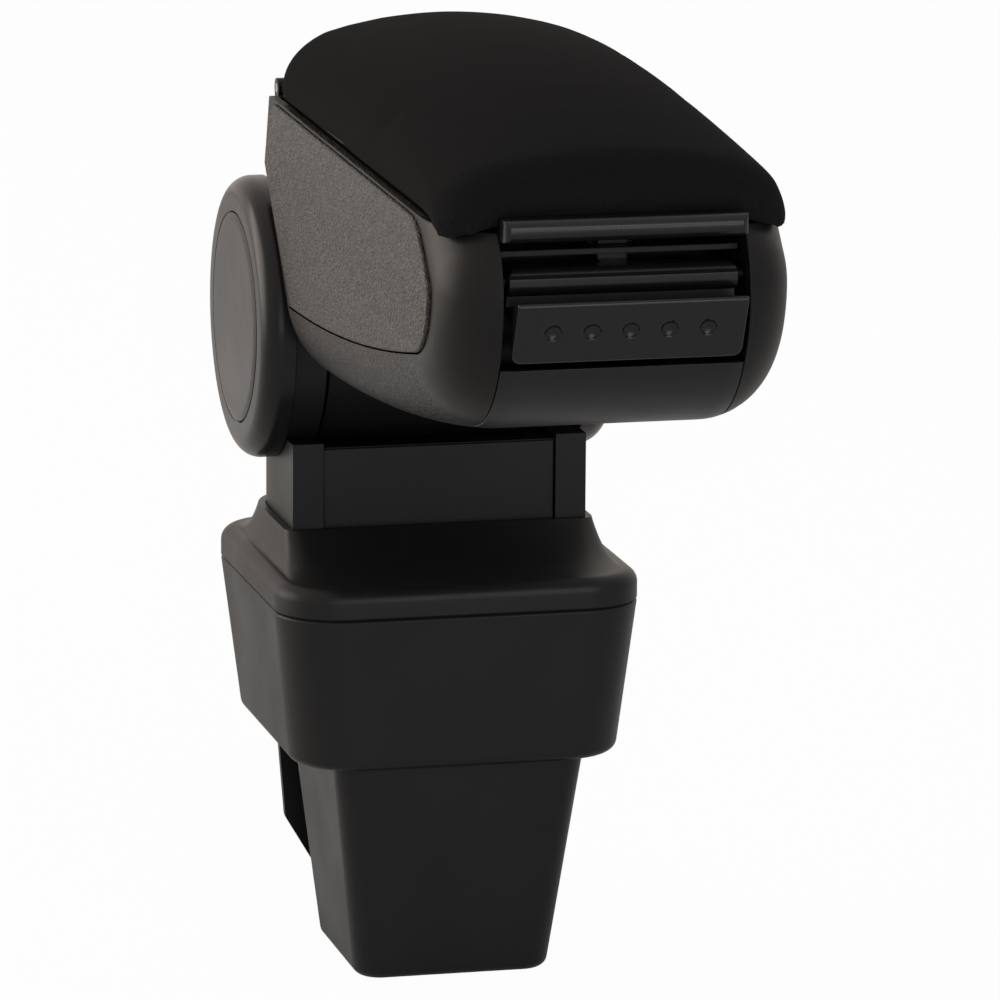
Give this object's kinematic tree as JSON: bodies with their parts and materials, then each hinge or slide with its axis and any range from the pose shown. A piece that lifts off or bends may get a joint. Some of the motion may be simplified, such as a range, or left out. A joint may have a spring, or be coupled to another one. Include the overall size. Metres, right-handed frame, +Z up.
{
  "type": "car centre armrest",
  "caption": "Black car centre armrest: padded lidded box on a folding, sliding arm with round hinge discs, on a flared base with a plug-in foot.",
  "frame": {"origin": "centre line of the plug, on its foot face", "axes": "+X to the armrest's right as seen from its front, -Y to the front, +Z up"},
  "size_m": [0.1312, 0.3513, 0.3382],
  "materials": {
    "moulded_abs": "satin moulded black plastic",
    "grained_abs": "fine-grained black plastic",
    "filled_nylon": "matt black glass-filled nylon",
    "acetal": "dark grey slippery plastic",
    "steel": "zinc-plated steel",
    "fabric": "smooth black knit over foam",
    "rubber": "soft black rubber"
  },
  "bodies": {
    "base": {"base_tub": "moulded_abs", "rear_leg": "moulded_abs", "base_cover": "moulded_abs", "column_shell": "moulded_abs", "column_front_panel": "moulded_abs", "column_bracket": "steel", "bracket_bolts": "steel", "bracket_nuts": "steel", "hinge_axle": "steel", "axle_nut": "steel", "left_hinge_disc": "moulded_abs", "right_hinge_disc": "moulded_abs", "left_disc_cap": "moulded_abs", "right_disc_cap": "moulded_abs"},
    "arm": {"swing_arm": "filled_nylon", "barrel_bushes": "acetal", "thrust_washers": "acetal"},
    "head": {"left_hull_side": "moulded_abs", "right_hull_side": "moulded_abs", "belly_panel": "moulded_abs", "left_side_panel": "grained_abs", "right_side_panel": "grained_abs", "storage_tray": "moulded_abs", "tray_flange": "moulded_abs", "left_slide_rail": "acetal", "right_slide_rail": "acetal", "rail_screws": "steel", "slide_stop_pin": "steel", "tray_screws": "steel", "belly_screws": "steel", "lid_hinge_pins": "steel", "latch_pin": "filled_nylon"},
    "lid": {"lid_pan": "moulded_abs", "lid_pad": "fabric", "lid_buffers": "rubber"},
    "latch": {"latch_lever": "moulded_abs"}
  },
  "joints": [
    {"name": "arm_tilt", "type": "hinge", "parent": "base", "child": "arm", "pos_m": [0, 0.022, 0.2265], "axis": [-1, 0, 0], "range_deg": [0, 90]},
    {"name": "head_slide", "type": "slide", "parent": "arm", "child": "head", "axis": [0, -1, 0], "range_m": [0, 0.1]},
    {"name": "lid_open", "type": "hinge", "parent": "head", "child": "lid", "pos_m": [0, 0.0015, 0.3112], "axis": [-1, 0, 0], "range_deg": [0, 85]},
    {"name": "latch_press", "type": "hinge", "parent": "head", "child": "latch", "pos_m": [0, -0.2605, 0.2885], "axis": [1, 0, 0], "range_deg": [0, 9], "stiffness_Nm_per_rad": 0.4, "springref_deg": -8.59}
  ]
}
